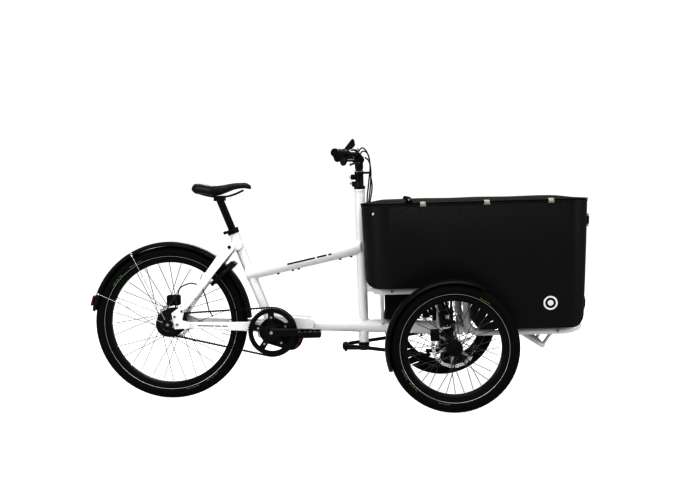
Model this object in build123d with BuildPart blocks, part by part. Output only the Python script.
from build123d import *
import os
from math import cos, radians, sin, tan

os.makedirs("parts", exist_ok=True)

# A tilting cargo tricycle: one driven rear wheel, two steered front wheels and a box between them.
# The origin is on the ground, midway along the length and on the centre line.
# +X is forward, +Y is to the rider's left and +Z is up. Sizes are in millimetres and degrees.

REAR_X = -713.0  # rear axle, from the origin
WHEELBASE = 1205.0
HALF_TRACK = 400.0
REAR_TYRE_R = 334.5
FRONT_TYRE_R = 258.0
TYRE_WIDTH = 55.0
TYRE_WALL = 3.5
REAR_RIM_R = 264.0  # to the spoke bed
FRONT_RIM_R = 185.6
RIM_WIDTH = 30.0
SPOKES = 32
SPOKE_D = 2.0
RUNNING = 0.05  # radial clearance of a shaft that turns in its bore
GAP = 0.5  # between faces that move past each other

CRANK_X, CRANK_Z = 448.0, 290.0
CRANK_LENGTH = 169.5
BELT_Y = -64.0
BELT_WIDTH = 12.0
RING_R = 104.0
COG_R = 42.0

SEAT_ANGLE = 69.3
SEAT_TUBE_D = 42.0
SEATPOST_D = 31.6
HEAD_X = 842.0
HEAD_D = 43.0
HEAD_LOW, HEAD_HIGH = 226.0, 894.0
COLUMN_D = 32.0
QUILL_D = 25.9

KINGPIN_X = 1185.0
KINGPIN_Y = 300.0
ARM_Y = 262.0  # outer tilt pivots
LOWER_ARM_Z, UPPER_ARM_Z = 200.0, 385.0
STEER_ARM = 80.0
LINK_Z = 216.0
LINK_Y = 25.0  # inner ends of the drag links

BOX_REAR, BOX_FRONT = 850.0, 1772.0
BOX_TOP, BOX_STEP_Z, BOX_FLOOR_Z = 826.0, 485.0, 310.0
BOX_HALF = 295.0
BOX_STEP_X = 1282.0
BOX_DRAFT = 1.9
BOX_WALL = 4.0
BOX_FRONT_LEAN = 30.0  # how far the front wall leans out, floor to rim
DOOR_HALF = 200.0
DOOR_LOW, DOOR_HIGH = 345.0, 795.0
NOTCH_HALF, NOTCH_X = 60.0, 905.0
RAIL_D = 30.0
RAIL_Y = 215.0

FRONT_X = WHEELBASE
SIDES = (("right", -1), ("left", 1))


def at(x, y, z):
    """The point x ahead of the rear axle, y to the left and z above the ground."""
    return Vector(REAR_X + x, y, z)


def side(y):
    """An upright plane along the tricycle. Its sketches are drawn as X and Z, and extrude to the right."""
    return Plane(origin=(REAR_X, y, 0), x_dir=(1, 0, 0), z_dir=(0, -1, 0))


def across(x):
    """An upright plane across the tricycle. Its sketches are drawn as Y and Z, and extrude forward."""
    return Plane(origin=(REAR_X + x, 0, 0), x_dir=(0, 1, 0), z_dir=(1, 0, 0))


def level(z):
    """A level plane whose sketches start at the rear axle's X and extrude up."""
    return Plane(origin=(REAR_X, 0, z))


def spin_plane(centre, angle):
    """A plane through a wheel's axis: X runs along the axle to the left, Y out along the given angle."""
    a = radians(angle)
    return Plane(origin=centre, x_dir=(0, 1, 0), z_dir=(sin(a), 0, -cos(a)))


def bar(start, end, diameter, mode=Mode.ADD):
    """A straight round bar between two points."""
    run = end - start
    with BuildSketch(Plane(origin=start, z_dir=run)) as section:
        Circle(diameter / 2)
    extrude(section.sketch, amount=run.length, mode=mode)


def pipe(points, radii, diameter):
    """A round tube that follows straight runs joined by arcs."""
    with BuildLine() as route:
        FilletPolyline(*points, radius=radii)
    with BuildSketch(Plane(origin=route.line @ 0, z_dir=route.line % 0)) as section:
        Circle(diameter / 2)
    sweep(section.sketch, path=route.line)


def bend_radii(points):
    """The largest arcs that fit a cord's route, one for each corner."""
    radii = []
    for before, here, after in zip(points, points[1:], points[2:]):
        turn = (here - before).get_angle(after - here)
        shorter = min((here - before).length, (after - here).length)
        radii.append(0.45 * shorter / tan(radians(turn / 2)))
    return radii


def cable(points, diameter):
    """A hose or cable along its route."""
    pipe(points, bend_radii(points), diameter)


def ring(centre, outer_r, inner_r, y_low, y_high, mode=Mode.ADD):
    """A disc or ring about a crosswise axis, between two Y values."""
    with BuildSketch(side(y_high)) as section:
        with Locations((centre.X - REAR_X, centre.Z)):
            Circle(outer_r)
            if inner_r > 0:
                Circle(inner_r, mode=Mode.SUBTRACT)
    extrude(section.sketch, amount=y_high - y_low, mode=mode)


def tyre_ring(centre, radius, bead_r):
    """A tyre casing, open where its beads sit on the rim."""
    middle = radius - TYRE_WIDTH / 2
    with BuildSketch(spin_plane(centre, 0)) as section:
        with Locations((0, middle)):
            Circle(TYRE_WIDTH / 2)
            Circle(TYRE_WIDTH / 2 - TYRE_WALL, mode=Mode.SUBTRACT)
        with Locations((0, bead_r)):
            Rectangle(TYRE_WIDTH, 12, align=(Align.CENTER, Align.MAX), mode=Mode.SUBTRACT)
    revolve(section.sketch, axis=Axis(centre, (0, -1, 0)), revolution_arc=360)


def rim_ring(centre, bed_r, bead_r):
    """A channel rim, open towards the tyre."""
    with BuildSketch(spin_plane(centre, 0)) as section:
        with Locations((0, bed_r)):
            Rectangle(RIM_WIDTH, bead_r - bed_r, align=(Align.CENTER, Align.MIN))
        with Locations((0, bed_r + 4)):
            Rectangle(RIM_WIDTH - 6, bead_r - bed_r, align=(Align.CENTER, Align.MIN), mode=Mode.SUBTRACT)
    revolve(section.sketch, axis=Axis(centre, (0, -1, 0)), revolution_arc=360)


def spokes(centre, hub_r, rim_r, flange_y, cross):
    """Crossed spokes, each ending just short of the hub and of the rim."""
    for k in range(SPOKES):
        rim_angle = radians(360 / SPOKES * k)
        lead = 1 if (k // 2) % 2 else -1
        hub_angle = rim_angle + lead * radians(cross)
        y = (flange_y if k % 2 else -flange_y) + lead * 1.8
        start = centre + Vector(hub_r * cos(hub_angle), y, hub_r * sin(hub_angle))
        end = centre + Vector(rim_r * cos(rim_angle), y / 5, rim_r * sin(rim_angle))
        bar(start, end, SPOKE_D)


def brake_disc(centre, radius, y_low, y_high):
    """A pierced brake disc."""
    with BuildSketch(side(y_high)) as section:
        with Locations((centre.X - REAR_X, centre.Z)):
            Circle(radius)
            with PolarLocations(0.63 * radius, 8):
                Circle(0.2 * radius, mode=Mode.SUBTRACT)
    extrude(section.sketch, amount=y_high - y_low)


def mudguard(centre, radius, half_width, drop, start, end):
    """An arched guard over a wheel, 3 mm thick."""
    with BuildSketch(spin_plane(centre, start)) as section:
        with BuildLine():
            ThreePointArc((-half_width, radius - drop), (0, radius), (half_width, radius - drop))
            Line((half_width, radius - drop), (half_width - 3, radius - drop - 1))
            ThreePointArc((half_width - 3, radius - drop - 1), (0, radius - 3), (3 - half_width, radius - drop - 1))
            Line((3 - half_width, radius - drop - 1), (-half_width, radius - drop))
        make_face()
    revolve(section.sketch, axis=Axis(centre, (0, -1, 0)), revolution_arc=end - start)


REAR_AXLE = at(0, 0, REAR_TYRE_R)
CRANK = at(CRANK_X, 0, CRANK_Z)
SEAT_UP = Vector(-cos(radians(SEAT_ANGLE)), 0, sin(radians(SEAT_ANGLE)))
SEAT_TOP = at(283.5, 0, 729)
SEAT_FOOT = SEAT_TOP - SEAT_UP * 408
SPINE_REAR = at(590, 0, 314)
SPINE_FRONT = at(1273, 0, 277)
STAY_TOP = at(274, -44.5, 660.5)
STAY_LOW = at(72, -72.6, 405)
MOTOR_LOBE = at(525, 0, 254)

# ---------------------------------------------------------------- frame

# The welded frame: seat tube, top tube, head tube, spine, motor shell, chainstays and tilt pivots.
with BuildPart() as main_frame:
    bar(SEAT_FOOT, SEAT_TOP, SEAT_TUBE_D)
    bar(at(352, 0, 543), at(HEAD_X, 0, 644), 62)
    bar(SPINE_REAR, SPINE_FRONT, 58)
    bar(at(HEAD_X, 0, HEAD_LOW), at(HEAD_X, 0, HEAD_HIGH), HEAD_D)
    with BuildSketch(side(42)):
        with Locations((CRANK_X, CRANK_Z)):
            Circle(68)
        with Locations((600, 313.5)):
            Circle(29)
        make_hull()
        with Locations((CRANK_X + 60, 262)):
            Rectangle(400, 90, align=(Align.CENTER, Align.MAX), mode=Mode.SUBTRACT)
    extrude(amount=84)
    with BuildSketch(side(35)):
        with Locations((274, 660.5)):
            Circle(21)
        with Locations((309, 660.5)):
            Circle(18)
        make_hull()
    extrude(amount=70)
    for x in (KINGPIN_X - 20, KINGPIN_X + 20):
        with Locations(at(x, 0, 352), at(x, 0, 220)):
            Box(10, 36, 108)
    for z in (LOWER_ARM_Z, UPPER_ARM_Z):
        bar(at(KINGPIN_X - 25, 0, z), at(KINGPIN_X + 25, 0, z), 14)
    for name, s in SIDES:
        front = Plane(origin=at(412, s * 36, 309), x_dir=(0, 1, 0), z_dir=(-1, 0, 0))
        rear = Plane(origin=at(80, s * 73, 329), x_dir=(0, 1, 0), z_dir=(-1, 0, 0))
        with BuildSketch(front):
            RectangleRounded(16, 46, 6)
        with BuildSketch(rear):
            RectangleRounded(16, 28, 6)
        loft()
    # inside the tubes
    bar(SEAT_FOOT + SEAT_UP * 20, SEAT_TOP - SEAT_UP * 200, SEAT_TUBE_D - 6, mode=Mode.SUBTRACT)
    bar(SEAT_TOP - SEAT_UP * 260, SEAT_TOP + SEAT_UP * 5, SEATPOST_D + 2 * RUNNING, mode=Mode.SUBTRACT)
    bar(at(372, 0, 547), at(HEAD_X, 0, 644), 56, mode=Mode.SUBTRACT)
    bar(SPINE_REAR + Vector(30, 0, 0), SPINE_FRONT - Vector(20, 0, 0), 52, mode=Mode.SUBTRACT)
    ring(CRANK, 59, 0, -52, 52, mode=Mode.SUBTRACT)
    ring(MOTOR_LOBE, 49, 0, -52, 52, mode=Mode.SUBTRACT)
    with BuildSketch(side(52)):
        with Locations((CRANK_X, CRANK_Z)):
            Circle(59)
        with Locations((525, 254)):
            Circle(49)
        make_hull()
    extrude(amount=104, mode=Mode.SUBTRACT)
    # the head tube's wall runs on through the tubes, bored for the steering column
    bar(at(HEAD_X, 0, HEAD_LOW), at(HEAD_X, 0, HEAD_HIGH), HEAD_D)
    bar(at(HEAD_X, 0, HEAD_LOW - 5), at(HEAD_X, 0, HEAD_HIGH + 5), COLUMN_D + 2 * RUNNING, mode=Mode.SUBTRACT)
    # threaded bosses under the top tube
    for x in (470, 534):
        boss = at(x, 0, 543 + (x - 352) * 101 / 490)
        with BuildSketch(Plane(origin=boss, x_dir=(0, 1, 0), z_dir=(0.2019, 0, -0.9794))):
            Circle(6)
        extrude(amount=35)
        bar(boss + Vector(0.2019, 0, -0.9794) * 22, boss + Vector(0.2019, 0, -0.9794) * 36, 4.2, mode=Mode.SUBTRACT)
main_frame.part.label = "main_frame"
export_step(main_frame.part, "parts/main_frame.step")

# The two flat-sided seat stays, bolted to the seat tube's lug and to the dropouts.
with BuildPart() as seat_stays:
    run = STAY_LOW - STAY_TOP
    along = run.normalized()
    outward = (Vector(0, -1, 0) - along * along.dot(Vector(0, -1, 0))).normalized()
    with BuildSketch(Plane(origin=STAY_TOP, x_dir=along, z_dir=outward)):
        Circle(22)
        with Locations((run.length, 0)):
            Circle(13)
        make_hull()
    extrude(amount=7, both=True)
    mirror(about=Plane.XZ)
    with Locations(at(244, 0, 622)):
        with Locations(Rotation(0, 38, 0)):
            Box(8, 92, 16)
seat_stays.part.label = "seat_stays"
export_step(seat_stays.part, "parts/seat_stays.step")

# The dropout plates that join each chainstay to its seat stay.
with BuildPart() as dropout_plates:
    for name, s in SIDES:
        with BuildSketch(side(84.5 * s + 3)):
            with BuildLine():
                Polyline((18, 384), (52, 408), (78, 408), (64, 352), (96, 343), (96, 316), (28, 314), close=True)
            make_face()
            fillet(vertices(), 5)
        extrude(amount=6)
dropout_plates.part.label = "dropout_plates"
export_step(dropout_plates.part, "parts/dropout_plates.step")

# The rear axle with its end bolts and the sliding axle holders.
with BuildPart() as rear_axle:
    bar(REAR_AXLE + Vector(0, -92, 0), REAR_AXLE + Vector(0, 92, 0), 12)
    for name, s in SIDES:
        with BuildSketch(side(78 * s + 2.5)):
            with Locations((0, REAR_TYRE_R)):
                Circle(19)
            with Locations((48, 344)):
                Circle(15)
            make_hull()
        extrude(amount=5)
        ring(REAR_AXLE, 11, 0, min(s * 81, s * 89), max(s * 81, s * 89))
rear_axle.part.label = "rear_axle"
export_step(rear_axle.part, "parts/rear_axle.step")

# The bolted cradle that carries the box: two bent rails, their cross tubes, struts and the step loop.
with BuildPart() as box_cradle:
    right_rail = [at(898, 0, 469), at(898, -RAIL_Y, 469), at(1273, -RAIL_Y, 469), at(1273, -RAIL_Y, 290),
                  at(1668, -RAIL_Y, 290), at(1734, -RAIL_Y, 301), at(1734, 0, 301)]
    pipe(right_rail, [55, 60, 50, 60, 45], RAIL_D)
    bar(at(925, -RAIL_Y, 458), at(925, -22, 306), 16)
    bar(at(1273, -RAIL_Y, 296), at(1273, -24, 280), 26)
    step_loop = [at(1480, -110, 289), at(1603, -110, 208), at(1603, 0, 208)]
    pipe(step_loop, [30], 20)
    bar(at(1603, -80, 208), at(1652, -110, 288), 14)
    for x in (1480, 1655):
        bar(at(x, -RAIL_Y, 289), at(x, 0, 289), 22)
    mirror(about=Plane.XZ)
    with Locations(at(877, 0, 469)):
        Box(26, 20, 44)
    bar(SPINE_REAR, SPINE_FRONT + Vector(2, 0, 0), 58.2, mode=Mode.SUBTRACT)
    bar(at(HEAD_X, 0, HEAD_LOW), at(HEAD_X, 0, HEAD_HIGH), HEAD_D + 0.2, mode=Mode.SUBTRACT)
box_cradle.part.label = "box_cradle"
export_step(box_cradle.part, "parts/box_cradle.step")

# Bolt heads on the frame, the stays, the dropouts and the cradle.
with BuildPart() as frame_bolts:
    for s in (-1, 1):
        for x, z, y, r in ((274, 660.5, 53, 7), (31, 369, 87.6, 6), (42, 334, 87.6, 6), (64, 392, 87.6, 6),
                           (967, 469, RAIL_Y + 15.2, 6), (1641, 290, RAIL_Y + 15.2, 6)):
            low, high = sorted((s * y, s * (y + 4)))
            ring(at(x, 0, z), r, 2.5, low, high)
frame_bolts.part.label = "frame_bolts"
export_step(frame_bolts.part, "parts/frame_bolts.step")

# The mid motor in its cast housing, bored for the crank spindle.
with BuildPart() as motor_unit:
    with BuildSketch(side(50)):
        with Locations((CRANK_X, CRANK_Z)):
            Circle(58)
        with Locations((525, 254)):
            Circle(48)
        make_hull()
    extrude(amount=100)
    fillet(motor_unit.edges().group_by(Axis.Y)[0] + motor_unit.edges().group_by(Axis.Y)[-1], 6)
    ring(CRANK, 12 + RUNNING, 0, -60, 60, mode=Mode.SUBTRACT)
motor_unit.part.label = "motor_unit"
export_step(motor_unit.part, "parts/motor_unit.step")

# The carbon belt, a closed band round both pulleys.
with BuildPart() as drive_belt:
    with BuildSketch(side(BELT_Y + BELT_WIDTH / 2)):
        with Locations((CRANK_X, CRANK_Z)):
            Circle(RING_R + 4.4)
        with Locations((0, REAR_TYRE_R)):
            Circle(COG_R + 4.4)
        make_hull()
    extrude(amount=BELT_WIDTH)
    with BuildSketch(side(BELT_Y + BELT_WIDTH / 2)):
        with Locations((CRANK_X, CRANK_Z)):
            Circle(RING_R + 0.4)
        with Locations((0, REAR_TYRE_R)):
            Circle(COG_R + 0.4)
        make_hull()
    extrude(amount=BELT_WIDTH, mode=Mode.SUBTRACT)
drive_belt.part.label = "drive_belt"
export_step(drive_belt.part, "parts/drive_belt.step")

# The rear mudguard and its two wire stays.
with BuildPart() as rear_fender:
    mudguard(REAR_AXLE, 354, 34, 14, 2, 170)
    for angle in (113, 140):
        a = radians(angle)
        for s in (-1, 1):
            tip = REAR_AXLE + Vector(342 * cos(a), s * 36, 342 * sin(a))
            foot = REAR_AXLE + Vector(12.7 * cos(a), s * 85, 12.7 * sin(a))
            bar(foot, tip, 3.2)
rear_fender.part.label = "rear_fender"
export_step(rear_fender.part, "parts/rear_fender.step")

# The rear reflector lamp on the mudguard and the small lamp under the cradle's nose.
with BuildPart() as lamps:
    tail = REAR_AXLE + Vector(354.6 * cos(radians(163)), 0, 354.6 * sin(radians(163)))
    with Locations(Location(tail + Vector(-0.5, 0, 0), (0, 0, 0))):
        with Locations(Rotation(0, 17, 0)):
            Box(8, 32, 44, align=(Align.MAX, Align.CENTER, Align.CENTER))
    with Locations(at(1712, 0, 281)):
        Box(24, 40, 14)
lamps.part.label = "lamps"
export_step(lamps.part, "parts/lamps.step")

# The frame lock: a horseshoe housing across the wheel, with a channel for its shackle.
LOCK_TILT = 41.0
LOCK_CENTRE = REAR_AXLE + Vector(312 * cos(radians(LOCK_TILT)), 0, 312 * sin(radians(LOCK_TILT)))
LOCK_NORMAL = Vector(-sin(radians(LOCK_TILT)), 0, cos(radians(LOCK_TILT)))
LOCK_PLANE = Plane(origin=LOCK_CENTRE, x_dir=(0, 1, 0), z_dir=LOCK_NORMAL)
with BuildPart() as ring_lock:
    with BuildSketch(LOCK_PLANE):
        Circle(78)
        Circle(57, mode=Mode.SUBTRACT)
        Rectangle(90, 120, align=(Align.CENTER, Align.MIN), mode=Mode.SUBTRACT)
    extrude(amount=8, both=True)
    with BuildSketch(LOCK_PLANE):
        Circle(72)
        Circle(63, mode=Mode.SUBTRACT)
    extrude(amount=12, mode=Mode.SUBTRACT)
ring_lock.part.label = "ring_lock"
export_step(ring_lock.part, "parts/ring_lock.step")

with BuildPart() as lock_lever:
    with BuildSketch(LOCK_PLANE.offset(1)):
        Circle(71.2)
        Circle(63.8, mode=Mode.SUBTRACT)
        Rectangle(200, 100, align=(Align.CENTER, Align.MIN), mode=Mode.SUBTRACT)
    extrude(amount=6)
lock_lever.part.label = "lock_lever"
export_step(lock_lever.part, "parts/lock_lever.step")

# The rear brake caliper, straddling the disc on the left.
with BuildPart() as rear_caliper:
    with Locations(at(0, 58, 425)):
        Box(58, 30, 46)
        fillet(rear_caliper.edges().filter_by(Axis.Y), 8)
    ring(REAR_AXLE, 84, 0, 55.2, 60.8, mode=Mode.SUBTRACT)
rear_caliper.part.label = "rear_caliper"
export_step(rear_caliper.part, "parts/rear_caliper.step")

# The battery pack, low on the spine in front of the head tube.
with BuildPart() as battery_pack:
    with Locations(at(1012, 0, 386)):
        Box(150, 100, 112)
    fillet(battery_pack.edges().filter_by(Axis.Z), 12)
battery_pack.part.label = "battery_pack"
export_step(battery_pack.part, "parts/battery_pack.step")

# Hoses and cables held by the frame: down the head tube, and from the chainstay up to the rear caliper.
CABLE_D = 5.0
with BuildPart() as frame_cables:
    for y, top_x in ((-15, 889), (15, 887), (0, 893)):
        cable([at(top_x, y, 950), at(892, y, 905), at(886, y, 860), at(878, y, 815), at(872, y, 755),
               at(869.5, y * 1.1, 695), at(871, y * 1.15, 635), at(870, y * 1.1, 575)], CABLE_D)
    cable([at(19, 58, 449), at(28, 57, 475), at(60, 55, 494), at(92, 53, 497), at(122, 52, 480),
           at(140, 51, 448), at(150, 52, 408), at(157, 54, 375), at(172, 59, 346)], CABLE_D)
frame_cables.part.label = "frame_cables"
export_step(frame_cables.part, "parts/frame_cables.step")

# ---------------------------------------------------------------- rear wheel and drive

with BuildPart() as rear_tyre:
    tyre_ring(REAR_AXLE, REAR_TYRE_R, REAR_RIM_R + 19.2)
rear_tyre.part.label = "rear_tyre"
export_step(rear_tyre.part, "parts/rear_tyre.step")

# The rear rim with its laced spokes.
with BuildPart() as rear_rim:
    rim_ring(REAR_AXLE, REAR_RIM_R, REAR_RIM_R + 19.2)
    spokes(REAR_AXLE, 62.0, REAR_RIM_R - 0.1, 27.0, 36)
rear_rim.part.label = "rear_rim"
export_step(rear_rim.part, "parts/rear_rim.step")

# The gear hub with its drive shell and its brake disc.
with BuildPart() as rear_hub:
    ring(REAR_AXLE, 60, 0, -33, 33)
    ring(REAR_AXLE, 40, 0, -48, 46)
    ring(REAR_AXLE, 18, 0, -72.5, 62)
    brake_disc(REAR_AXLE, 80, 57, 59)
    ring(REAR_AXLE, 6 + RUNNING, 0, -75, 65, mode=Mode.SUBTRACT)
rear_hub.part.label = "rear_hub"
export_step(rear_hub.part, "parts/rear_hub.step")

# The rear pulley, free to overrun on the hub, with its round guard.
with BuildPart() as rear_cog:
    ring(REAR_AXLE, COG_R, 18 + RUNNING, BELT_Y - BELT_WIDTH / 2 - GAP, BELT_Y + BELT_WIDTH / 2)
    ring(REAR_AXLE, 55, 18 + RUNNING, -72.4, BELT_Y - BELT_WIDTH / 2 - GAP)
rear_cog.part.label = "rear_cog"
export_step(rear_cog.part, "parts/rear_cog.step")

# The cranks on their spindle, with the pedal axles screwed in.
with BuildPart() as crankset:
    bar(CRANK + Vector(0, -96, 0), CRANK + Vector(0, 96, 0), 24)
    for s in (-1, 1):
        end = CRANK_X - s * CRANK_LENGTH
        with BuildSketch(side(91 * s + 7)):
            with Locations((CRANK_X, CRANK_Z)):
                Circle(19)
            with Locations((end, CRANK_Z)):
                Circle(13)
            make_hull()
        extrude(amount=14)
        bar(at(end, s * 96, CRANK_Z), at(end, s * 190, CRANK_Z), 10)
crankset.part.label = "crankset"
export_step(crankset.part, "parts/crankset.step")

# The front pulley on its five-armed spider.
with BuildPart() as belt_ring:
    ring(CRANK, RING_R, 88, BELT_Y - BELT_WIDTH / 2, BELT_Y + BELT_WIDTH / 2)
    ring(CRANK, 30, 12.1, -76, BELT_Y + BELT_WIDTH / 2)
    for k in range(5):
        with BuildSketch(side(BELT_Y + 4)):
            with Locations((CRANK_X, CRANK_Z)):
                with Locations(Rotation(0, 0, 72 * k + 20)):
                    with Locations((59, 0)):
                        Rectangle(64, 20)
        extrude(amount=9)
belt_ring.part.label = "belt_ring"
export_step(belt_ring.part, "parts/belt_ring.step")

# A platform pedal on each pedal axle.
for name, s in SIDES:
    with BuildPart() as pedal:
        centre = at(CRANK_X - s * CRANK_LENGTH, s * 146, CRANK_Z)
        with Locations(centre):
            Box(96, 76, 24)
            with Locations((33, 0, 0), (-33, 0, 0)):
                Box(18, 56, 30, mode=Mode.SUBTRACT)
        fillet(pedal.edges().filter_by(Axis.Z).sort_by(Axis.X)[-2:], 8)
        fillet(pedal.edges().filter_by(Axis.Z).sort_by(Axis.X)[:2], 8)
        bar(centre + Vector(0, -40, 0), centre + Vector(0, 40, 0), 10 + 2 * RUNNING, mode=Mode.SUBTRACT)
    pedal.part.label = name + "_pedal"
    export_step(pedal.part, "parts/" + name + "_pedal.step")

# ---------------------------------------------------------------- seat

# The collar that pinches the seat tube, with its skewer.
with BuildPart() as seat_collar:
    foot = SEAT_TOP - SEAT_UP * 14
    bar(foot, SEAT_TOP + SEAT_UP * 4, 50)
    bar(foot - SEAT_UP, SEAT_TOP, SEAT_TUBE_D + 0.1, mode=Mode.SUBTRACT)
    bar(SEAT_TOP - SEAT_UP, SEAT_TOP + SEAT_UP * 5, SEATPOST_D + 2, mode=Mode.SUBTRACT)
    bar(SEAT_TOP + Vector(-30, -22, -8), SEAT_TOP + Vector(-30, 22, -8), 12)
seat_collar.part.label = "seat_collar"
export_step(seat_collar.part, "parts/seat_collar.step")

# The quick-release lever of the seat collar.
LEVER_FOOT = SEAT_TOP + Vector(-30, -29, -8)
with BuildPart() as seat_lever:
    bar(LEVER_FOOT - SEAT_UP * 6, LEVER_FOOT + SEAT_UP * 6, 12)
    bar(LEVER_FOOT, LEVER_FOOT + Vector(28, -8, 10), 9)
    bar(LEVER_FOOT + Vector(28, -8, 10), LEVER_FOOT + Vector(58, -2, 22), 9)
seat_lever.part.label = "seat_lever"
export_step(seat_lever.part, "parts/seat_lever.step")

# The seat post with its rail clamp, and the two saddle rails.
POST_HEAD = SEAT_TOP + SEAT_UP * 146
with BuildPart() as seatpost:
    bar(SEAT_TOP - SEAT_UP * 170, POST_HEAD, SEATPOST_D)
    with Locations(POST_HEAD + Vector(0, 0, 6)):
        Box(44, 56, 22)
    for s in (-1, 1):
        rail = [at(140, s * 36, 898), at(175, s * 30, 886), at(215, s * 22, 877), at(262, s * 22, 877),
                at(300, s * 14, 887), at(336, s * 8, 903)]
        cable(rail, 7)
seatpost.part.label = "seatpost"
export_step(seatpost.part, "parts/seatpost.step")

# The saddle pad: wide and dished behind, narrow at the nose.
with BuildPart() as saddle:
    with BuildSketch(level(908)):
        with BuildLine():
            right_edge = Spline((118, -40), (150, -74), (205, -58), (270, -28), (345, -21), (370, 0),
                                tangents=((0, -1), (0, 1)))
            mirror(right_edge, about=Plane.XZ)
            Line((118, -40), (118, 40))
        make_face()
    extrude(amount=28)
saddle.part.label = "saddle"
export_step(saddle.part, "parts/saddle.step")

# ---------------------------------------------------------------- steering column and handlebar

# The steering column: a tube through the head tube, with its bearing caps and the stem clamp.
with BuildPart() as steering_column:
    bar(at(HEAD_X, 0, 192), at(HEAD_X, 0, 978), COLUMN_D)
    for low, high, d in ((212, HEAD_LOW - GAP, 47), (HEAD_HIGH + GAP, 907, 48), (907, 958, 35), (958, 968, 40)):
        bar(at(HEAD_X, 0, low), at(HEAD_X, 0, high), d)
    with Locations(at(816, 0, 946), at(820, 0, 916)):
        Box(20, 22, 22)
    with Locations(at(870, 0, 963)):
        Box(34, 44, 8)
    bar(at(HEAD_X, 0, 190), at(HEAD_X, 0, 980), QUILL_D + 2 * RUNNING, mode=Mode.SUBTRACT)
steering_column.part.label = "steering_column"
export_step(steering_column.part, "parts/steering_column.step")

# The arm at the foot of the column that swings the drag links.
with BuildPart() as pitman_arm:
    with BuildSketch(level(196)):
        with Locations((HEAD_X, 0)):
            Circle(25)
        with Locations((HEAD_X - STEER_ARM, 0)):
            Circle(13)
        make_hull()
    extrude(amount=12)
    bar(at(HEAD_X - STEER_ARM, 0, 188), at(HEAD_X - STEER_ARM, 0, 229), 12)
    bar(at(HEAD_X, 0, 190), at(HEAD_X, 0, 215), COLUMN_D + 0.1, mode=Mode.SUBTRACT)
pitman_arm.part.label = "pitman_arm"
export_step(pitman_arm.part, "parts/pitman_arm.step")

# The stem: a quill that slides in the column, and the clamp that reaches back to the bar.
with BuildPart() as stem:
    bar(at(HEAD_X, 0, 860), at(HEAD_X, 0, 1012), QUILL_D)
    bar(at(HEAD_X, 0, 980), at(HEAD_X, 0, 1006), 35)
    with BuildSketch(side(17)):
        with Locations((846, 1020)):
            Circle(19)
        with Locations((822, 1045)):
            Circle(21)
        make_hull()
    extrude(amount=34)
    ring(at(822, 0, 1045), 16, 0, -40, 40, mode=Mode.SUBTRACT)
stem.part.label = "stem"
export_step(stem.part, "parts/stem.step")

# The swept handlebar.
GRIP_END = at(755, -330, 1041)
BAR_BEND = at(800, -150, 1043)
with BuildPart() as handlebar:
    mirrored = [Vector(p.X, -p.Y, p.Z) for p in (BAR_BEND, GRIP_END)]
    pipe([GRIP_END, BAR_BEND, at(822, -70, 1045), at(822, 70, 1045), *mirrored], [60, 60, 60, 60], 22.2)
    bar(at(822, -38, 1045), at(822, 38, 1045), 31.8)
handlebar.part.label = "handlebar"
export_step(handlebar.part, "parts/handlebar.step")


def on_bar(s, distance):
    """The point on one side's straight part of the bar, the given way in from its end."""
    inward = (BAR_BEND - GRIP_END).normalized()
    point = GRIP_END + inward * distance
    return Vector(point.X, -s * point.Y, point.Z)


# The hand grips.
with BuildPart() as grips:
    for s, length in ((-1, 108), (1, 132)):
        bar(on_bar(s, -4), on_bar(s, length), 33)
        bar(on_bar(s, 0), on_bar(s, length + 2), 22.3, mode=Mode.SUBTRACT)
grips.part.label = "grips"
export_step(grips.part, "parts/grips.step")

# The twist shifter inboard of the right grip.
with BuildPart() as twist_shifter:
    bar(on_bar(-1, 109), on_bar(-1, 146), 36)
    bar(on_bar(-1, 107), on_bar(-1, 148), 22.2 + 4 * RUNNING, mode=Mode.SUBTRACT)
twist_shifter.part.label = "twist_shifter"
export_step(twist_shifter.part, "parts/twist_shifter.step")

# Brake master cylinders, the display on its arm and the remote's housing.
REACH = Vector(cos(radians(40)), 0, -sin(radians(40)))  # from the bar towards the brake levers
LEVER_AXIS = Vector(sin(radians(40)), 0, cos(radians(40)))
with BuildPart() as bar_controls:
    for s in (-1, 1):
        mount = on_bar(s, 162)
        bar(mount - Vector(0, 7, 0), mount + Vector(0, 7, 0), 32)
        bar(mount + REACH * 12, mount + REACH * 30, 12)
        bar(mount + REACH * 30 + Vector(0, -s * 34, 0), mount + REACH * 30 + Vector(0, s * 4, 0), 20)
    bar(at(800, 0, 1078), at(817, 0, 1072), 9)
    with Locations(at(803, 0, 1086)):
        with Locations(Rotation(0, 40, 0)):
            Box(9, 62, 56)
    bar(on_bar(1, 134), on_bar(1, 150), 30)
    for s in (-1, 1):
        bar(on_bar(s, 132), on_bar(s, 172), 22.3, mode=Mode.SUBTRACT)
bar_controls.part.label = "bar_controls"
export_step(bar_controls.part, "parts/bar_controls.step")

# A brake lever on each side, pivoted on its master cylinder.
for name, s in SIDES:
    with BuildPart() as brake_lever:
        pivot = on_bar(s, 162) + REACH * 34 + Vector(0, s * 14, 0)
        elbow = on_bar(s, 130) + REACH * 47
        bar(pivot - LEVER_AXIS * 6, pivot + LEVER_AXIS * 6, 16)
        bar(pivot, elbow, 10)
        bar(elbow, on_bar(s, 20) + REACH * 50, 9)
    brake_lever.part.label = name + "_brake_lever"
    export_step(brake_lever.part, "parts/" + name + "_brake_lever.step")

# The assist button on the remote.
BUTTON_AXIS = Vector(-0.5, 0, 0.866)
with BuildPart() as remote_button:
    bar(on_bar(1, 142) + BUTTON_AXIS * 17.2, on_bar(1, 142) + BUTTON_AXIS * 20.5, 11)
remote_button.part.label = "remote_button"
export_step(remote_button.part, "parts/remote_button.step")

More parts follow.
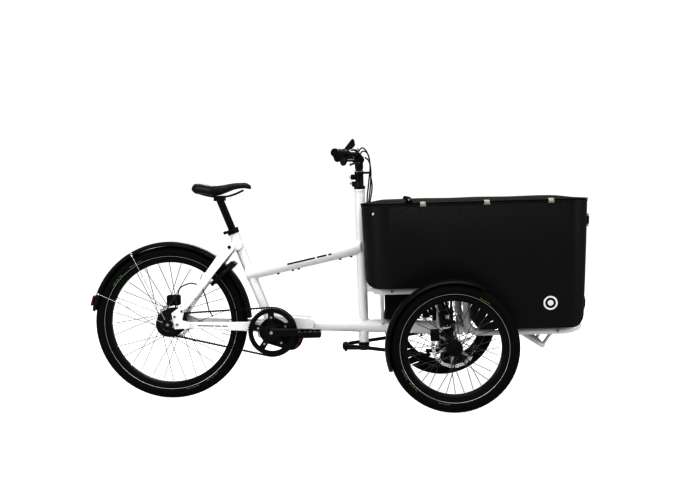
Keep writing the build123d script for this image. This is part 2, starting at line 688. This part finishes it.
# The hoses from the levers and the display down to the clip on the column.
with BuildPart() as bar_cables:
    for s, height in ((-1, 1068), (1, 1058)):
        cable([at(832, s * 112, 1032), at(846, s * 82, height - 12), at(862, s * 46, height),
               at(880, s * 22, 1046), at(889, s * 15, 1008), at(889, s * 15, 968)], CABLE_D)
    cable([at(868, 0, 1030), at(882, 0, 1018), at(890, 0, 996), at(893, 0, 968)], CABLE_D)
bar_cables.part.label = "bar_cables"
export_step(bar_cables.part, "parts/bar_cables.step")

# ---------------------------------------------------------------- cargo box


def box_outline(inset):
    """The box seen from above, without the hollow behind the head tube."""
    rear, front, half = BOX_REAR + inset, BOX_FRONT - inset, BOX_HALF - inset
    corners = [(rear, -half), (front, -half), (front, half), (rear, half)]
    radii = [120 - inset, 90 - inset, 90 - inset, 120 - inset]
    FilletPolyline(*corners, radius=radii, close=True)


def head_notch(inset):
    """Cuts the hollow behind the head tube, in a body inset from the box's outer face."""
    with BuildSketch(level(BOX_FLOOR_Z - 10)) as hollow:
        with Locations((BOX_REAR - 40, 0)):
            RectangleRounded(2 * (NOTCH_X + inset - BOX_REAR + 40), 2 * (NOTCH_HALF + inset), 14 + inset)
    extrude(hollow.sketch, amount=BOX_TOP - BOX_FLOOR_Z + 40, mode=Mode.SUBTRACT)


def box_body(inset):
    """The solid outer form of the box, or its hollow, from the rim down to the floor."""
    depth = BOX_TOP - BOX_FLOOR_Z
    with BuildSketch(Plane(origin=(REAR_X, 0, BOX_TOP), x_dir=(1, 0, 0), z_dir=(0, 0, -1))) as outline:
        with BuildLine():
            box_outline(inset)
        make_face()
    extrude(outline.sketch, amount=depth + 40, taper=BOX_DRAFT)
    lean = depth * tan(radians(BOX_DRAFT))
    step = lean * (BOX_TOP - BOX_STEP_Z) / depth
    over = BOX_TOP + 20
    corners = [(BOX_REAR - 2 + inset, over), (BOX_REAR - 2 + step + inset, BOX_STEP_Z + inset),
               (BOX_STEP_X + inset, BOX_STEP_Z + inset), (BOX_STEP_X + 20 + inset, BOX_FLOOR_Z + inset),
               (BOX_FRONT - BOX_FRONT_LEAN - inset, BOX_FLOOR_Z + inset), (BOX_FRONT + 1 - inset, over)]
    radii = [5, 50 - inset, 40 + inset, 34 - inset, 55 - inset, 5]
    with BuildSketch(side(400)) as profile:
        with BuildLine():
            FilletPolyline(*corners, radius=radii, close=True)
        make_face()
    extrude(profile.sketch, amount=800, mode=Mode.INTERSECT)
    head_notch(inset)


with BuildPart() as box_hollow:
    box_body(BOX_WALL)

with BuildPart() as whole_box:
    box_body(0)
    add(box_hollow.part, mode=Mode.SUBTRACT)

# The moulded box with its doorway.
with BuildPart() as box_shell:
    add(whole_box.part)
    with Locations(at(1740, 0, (DOOR_LOW + DOOR_HIGH) / 2)):
        Box(120, 2 * DOOR_HALF + 4, DOOR_HIGH - DOOR_LOW + 4, mode=Mode.SUBTRACT)
box_shell.part.label = "box_shell"
export_step(box_shell.part, "parts/box_shell.step")

# The front door and its hinge barrels. The hinge line leans with the front wall.
DOOR_RISE = BOX_TOP - BOX_FLOOR_Z
HINGE_UP = Vector(BOX_FRONT_LEAN, 0, DOOR_RISE).normalized()


def on_front(y, z, out):
    """A point in front of the box's front wall."""
    return at(BOX_FRONT - BOX_FRONT_LEAN * (BOX_TOP - z) / DOOR_RISE + out, y, z)


HINGE_Y = -DOOR_HALF - 8
with BuildPart() as box_door:
    add(whole_box.part)
    with Locations(at(1740, 0, (DOOR_LOW + DOOR_HIGH) / 2)):
        Box(120, 2 * DOOR_HALF, DOOR_HIGH - DOOR_LOW, mode=Mode.INTERSECT)
    for z in (400, 740):
        barrel = on_front(HINGE_Y, z, 7)
        leaf = on_front(-DOOR_HALF + 14, z, 2)
        bar(barrel - HINGE_UP * 16, barrel + HINGE_UP * 16, 11)
        with Locations((barrel + leaf) / 2):
            with Locations(Rotation(0, 3.3, 12)):
                Box(4, 34, 26)
        bar(barrel - HINGE_UP * 20, barrel + HINGE_UP * 20, 6 + 2 * RUNNING, mode=Mode.SUBTRACT)
box_door.part.label = "box_door"
export_step(box_door.part, "parts/box_door.step")

# The turning latch on the door.
LATCH = on_front(168, 600, 1)
with BuildPart() as door_latch:
    bar(LATCH, LATCH + Vector(9, 0, 0), 34)
    with Locations(LATCH + Vector(11, 8, 0)):
        Box(8, 62, 16)
door_latch.part.label = "door_latch"
export_step(door_latch.part, "parts/door_latch.step")

# Metal on the box: cover clips along both sides, door hinge pins with their brackets, and two dome bolts.
with BuildPart() as box_hardware:
    for s in (-1, 1):
        for x in (1100, 1356, 1612):
            with Locations(at(x, s * (BOX_HALF + 2.4), 817)):
                Box(26, 4, 16)
        radial = Vector(-0.592, s * 0.806, 0)
        dome = at(BOX_REAR + 120, s * (BOX_HALF - 120), 790)
        bar(dome + radial * 119.4, dome + radial * 125, 12)
    for z in (400, 740):
        pin = on_front(HINGE_Y, z, 7)
        bar(pin - HINGE_UP * 26, pin + HINGE_UP * 26, 6)
        for end in (-22, 22):
            with Locations(pin + HINGE_UP * end + Vector(-2.2, -2, 0)):
                Box(8, 14, 8)
box_hardware.part.label = "box_hardware"
export_step(box_hardware.part, "parts/box_hardware.step")

# The fitted cloth cover, with the rolled seam across it.
with BuildPart() as box_cover:
    with BuildSketch(level(BOX_TOP + 1)):
        with BuildLine():
            box_outline(-3)
        make_face()
    extrude(amount=9)
    head_notch(-3)
    bar(at(1045, -276, BOX_TOP + 17), at(1045, 276, BOX_TOP + 17), 22)
box_cover.part.label = "box_cover"
export_step(box_cover.part, "parts/box_cover.step")

# ---------------------------------------------------------------- tilting and steered front end

# The two cross arms, each pivoted on the frame in the middle and on an upright at each end.
for name, z in (("lower_cross_arm", LOWER_ARM_Z), ("upper_cross_arm", UPPER_ARM_Z)):
    with BuildPart() as cross_arm:
        with BuildSketch(across(KINGPIN_X - 13.5)):
            with Locations((0, z)):
                Circle(22)
            with Locations((-ARM_Y, z), (ARM_Y, z)):
                Circle(14)
            make_hull()
            with Locations((-ARM_Y, z), (ARM_Y, z)):
                Circle(6 + RUNNING, mode=Mode.SUBTRACT)
            with Locations((0, z)):
                Circle(7 + RUNNING, mode=Mode.SUBTRACT)
            with Locations((-138, z), (138, z)):
                SlotOverall(150, 12, mode=Mode.SUBTRACT)
        extrude(amount=27)
    cross_arm.part.label = name
    export_step(cross_arm.part, "parts/" + name + ".step")

for name, s in SIDES:
    hub = at(FRONT_X, s * HALF_TRACK, FRONT_TYRE_R)

    # The upright that joins the arms' ends and carries the kingpin housing.
    with BuildPart() as upright:
        for x in (KINGPIN_X - 27, KINGPIN_X + 15):
            with BuildSketch(across(x)):
                with Locations((s * ARM_Y, LOWER_ARM_Z), (s * ARM_Y, UPPER_ARM_Z)):
                    Circle(15)
                make_hull()
            extrude(amount=12)
        with Locations(at(KINGPIN_X, s * 283, 291)):
            Box(54, 26, 90)
        bar(at(KINGPIN_X, s * KINGPIN_Y, 239), at(KINGPIN_X, s * KINGPIN_Y, 344), 34)
        for z in (LOWER_ARM_Z, UPPER_ARM_Z):
            bar(at(KINGPIN_X - 27, s * ARM_Y, z), at(KINGPIN_X + 27, s * ARM_Y, z), 12)
        bar(at(KINGPIN_X, s * KINGPIN_Y, 230), at(KINGPIN_X, s * KINGPIN_Y, 350), 16 + 2 * RUNNING,
            mode=Mode.SUBTRACT)
    upright.part.label = name + "_upright"
    export_step(upright.part, "parts/" + name + "_upright.step")

    # The knuckle: kingpin, stub axle, steering arm, brake caliper and mudguard strut.
    with BuildPart() as knuckle:
        with Locations(at(1192, s * 329, 291.5)):
            Box(44, 12, 131)
        for low, height in ((226, 12.5), (344.5, 12.5)):
            with Locations(at(KINGPIN_X, s * 316, low + height / 2)):
                Box(30, 32, height)
            bar(at(KINGPIN_X, s * KINGPIN_Y, low), at(KINGPIN_X, s * KINGPIN_Y, low + height), 32)
        bar(at(KINGPIN_X, s * KINGPIN_Y, 226), at(KINGPIN_X, s * KINGPIN_Y, 357), 16)
        with BuildSketch(level(226)):
            with Locations((KINGPIN_X, s * KINGPIN_Y)):
                Circle(10)
            with Locations((KINGPIN_X - STEER_ARM, s * KINGPIN_Y)):
                Circle(9)
            make_hull()
        extrude(amount=12.5)
        ball = at(KINGPIN_X - STEER_ARM, s * KINGPIN_Y, 0)
        bar(ball + Vector(0, 0, 205), ball + Vector(0, 0, 230), 8)
        bar(ball + Vector(0, 0, 200), ball + Vector(0, 0, 205), 13)
        bar(hub + Vector(0, -s * 72, 0), hub + Vector(0, -s * 55, 0), 40)
        bar(hub + Vector(0, -s * 60, 0), hub + Vector(0, s * 34, 0), 17)
        with Locations(at(1152, s * 336, 303)):
            Box(60, 6, 26)
        with Locations(at(1132, s * 350, 303)):
            Box(34, 28, 44)
        ring(hub, 94, 40, *sorted((s * 348.2, s * 353.8)), mode=Mode.SUBTRACT)
        bar(at(1196, s * 333, 350), at(1205, s * 366, 517), 9)
    knuckle.part.label = name + "_knuckle"
    export_step(knuckle.part, "parts/" + name + "_knuckle.step")

    with BuildPart() as fender:
        mudguard(hub, 274, 33, 13, 61.5, 199)
    fender.part.label = name + "_fender"
    export_step(fender.part, "parts/" + name + "_fender.step")

    with BuildPart() as tyre:
        tyre_ring(hub, FRONT_TYRE_R, FRONT_RIM_R + 21.2)
    tyre.part.label = name + "_tyre"
    export_step(tyre.part, "parts/" + name + "_tyre.step")

    # The front rim with its laced spokes.
    with BuildPart() as rim:
        rim_ring(hub, FRONT_RIM_R, FRONT_RIM_R + 21.2)
        spokes(hub, 31.2, FRONT_RIM_R - 0.1, 20.0, 50)
    rim.part.label = name + "_rim"
    export_step(rim.part, "parts/" + name + "_rim.step")

    # The front hub with its brake disc.
    with BuildPart() as front_hub:
        ring(hub, 30, 0, *sorted((s * 374, s * 426)))
        ring(hub, 24, 0, *sorted((s * 351, s * 440)))
        brake_disc(hub, 90, *sorted((s * 350, s * 352)))
        ring(hub, 8.5 + RUNNING, 0, *sorted((s * 345, s * 436)), mode=Mode.SUBTRACT)
    front_hub.part.label = name + "_hub"
    export_step(front_hub.part, "parts/" + name + "_hub.step")

    # The drag link from the pitman block to the steering arm.
    with BuildPart() as link:
        eye = at(HEAD_X - STEER_ARM + 1, s * LINK_Y, LINK_Z)
        ball_end = at(KINGPIN_X - STEER_ARM, s * KINGPIN_Y, LINK_Z)
        run = (ball_end - eye).normalized()
        bar(eye - Vector(7, 0, 0), eye + Vector(8, 0, 0), 15)
        bar(eye + run * 5, eye + run * 24, 9)
        bar(eye + run * 20, ball_end - run * 28, 15)
        bar(ball_end - run * 30, ball_end - run * 8, 9)
        bar(ball_end - Vector(0, 0, 5), ball_end + Vector(0, 0, 5), 22)
        bar(eye - Vector(10, 0, 0), eye + Vector(10, 0, 0), 8 + 2 * RUNNING, mode=Mode.SUBTRACT)
        bar(ball_end - Vector(0, 0, 6), ball_end + Vector(0, 0, 6), 11.6, mode=Mode.SUBTRACT)
    link.part.label = name + "_link"
    export_step(link.part, "parts/" + name + "_link.step")

# The block on the pitman's stud: it stays square to the frame while the arm swings.
with BuildPart() as link_block:
    stud = at(HEAD_X - STEER_ARM, 0, 0)
    with Locations(stud + Vector(0, 0, 216.5)):
        Box(26, 27, 15)
    with Locations(stud + Vector(-10.5, 0, 216)):
        Box(5, 66, 14)
    for s in (-1, 1):
        pin = stud + Vector(-10, s * LINK_Y, LINK_Z)
        bar(pin, pin + Vector(19, 0, 0), 8)
    bar(stud + Vector(0, 0, 205), stud + Vector(0, 0, 230), 12 + 2 * RUNNING, mode=Mode.SUBTRACT)
link_block.part.label = "link_block"
export_step(link_block.part, "parts/link_block.step")
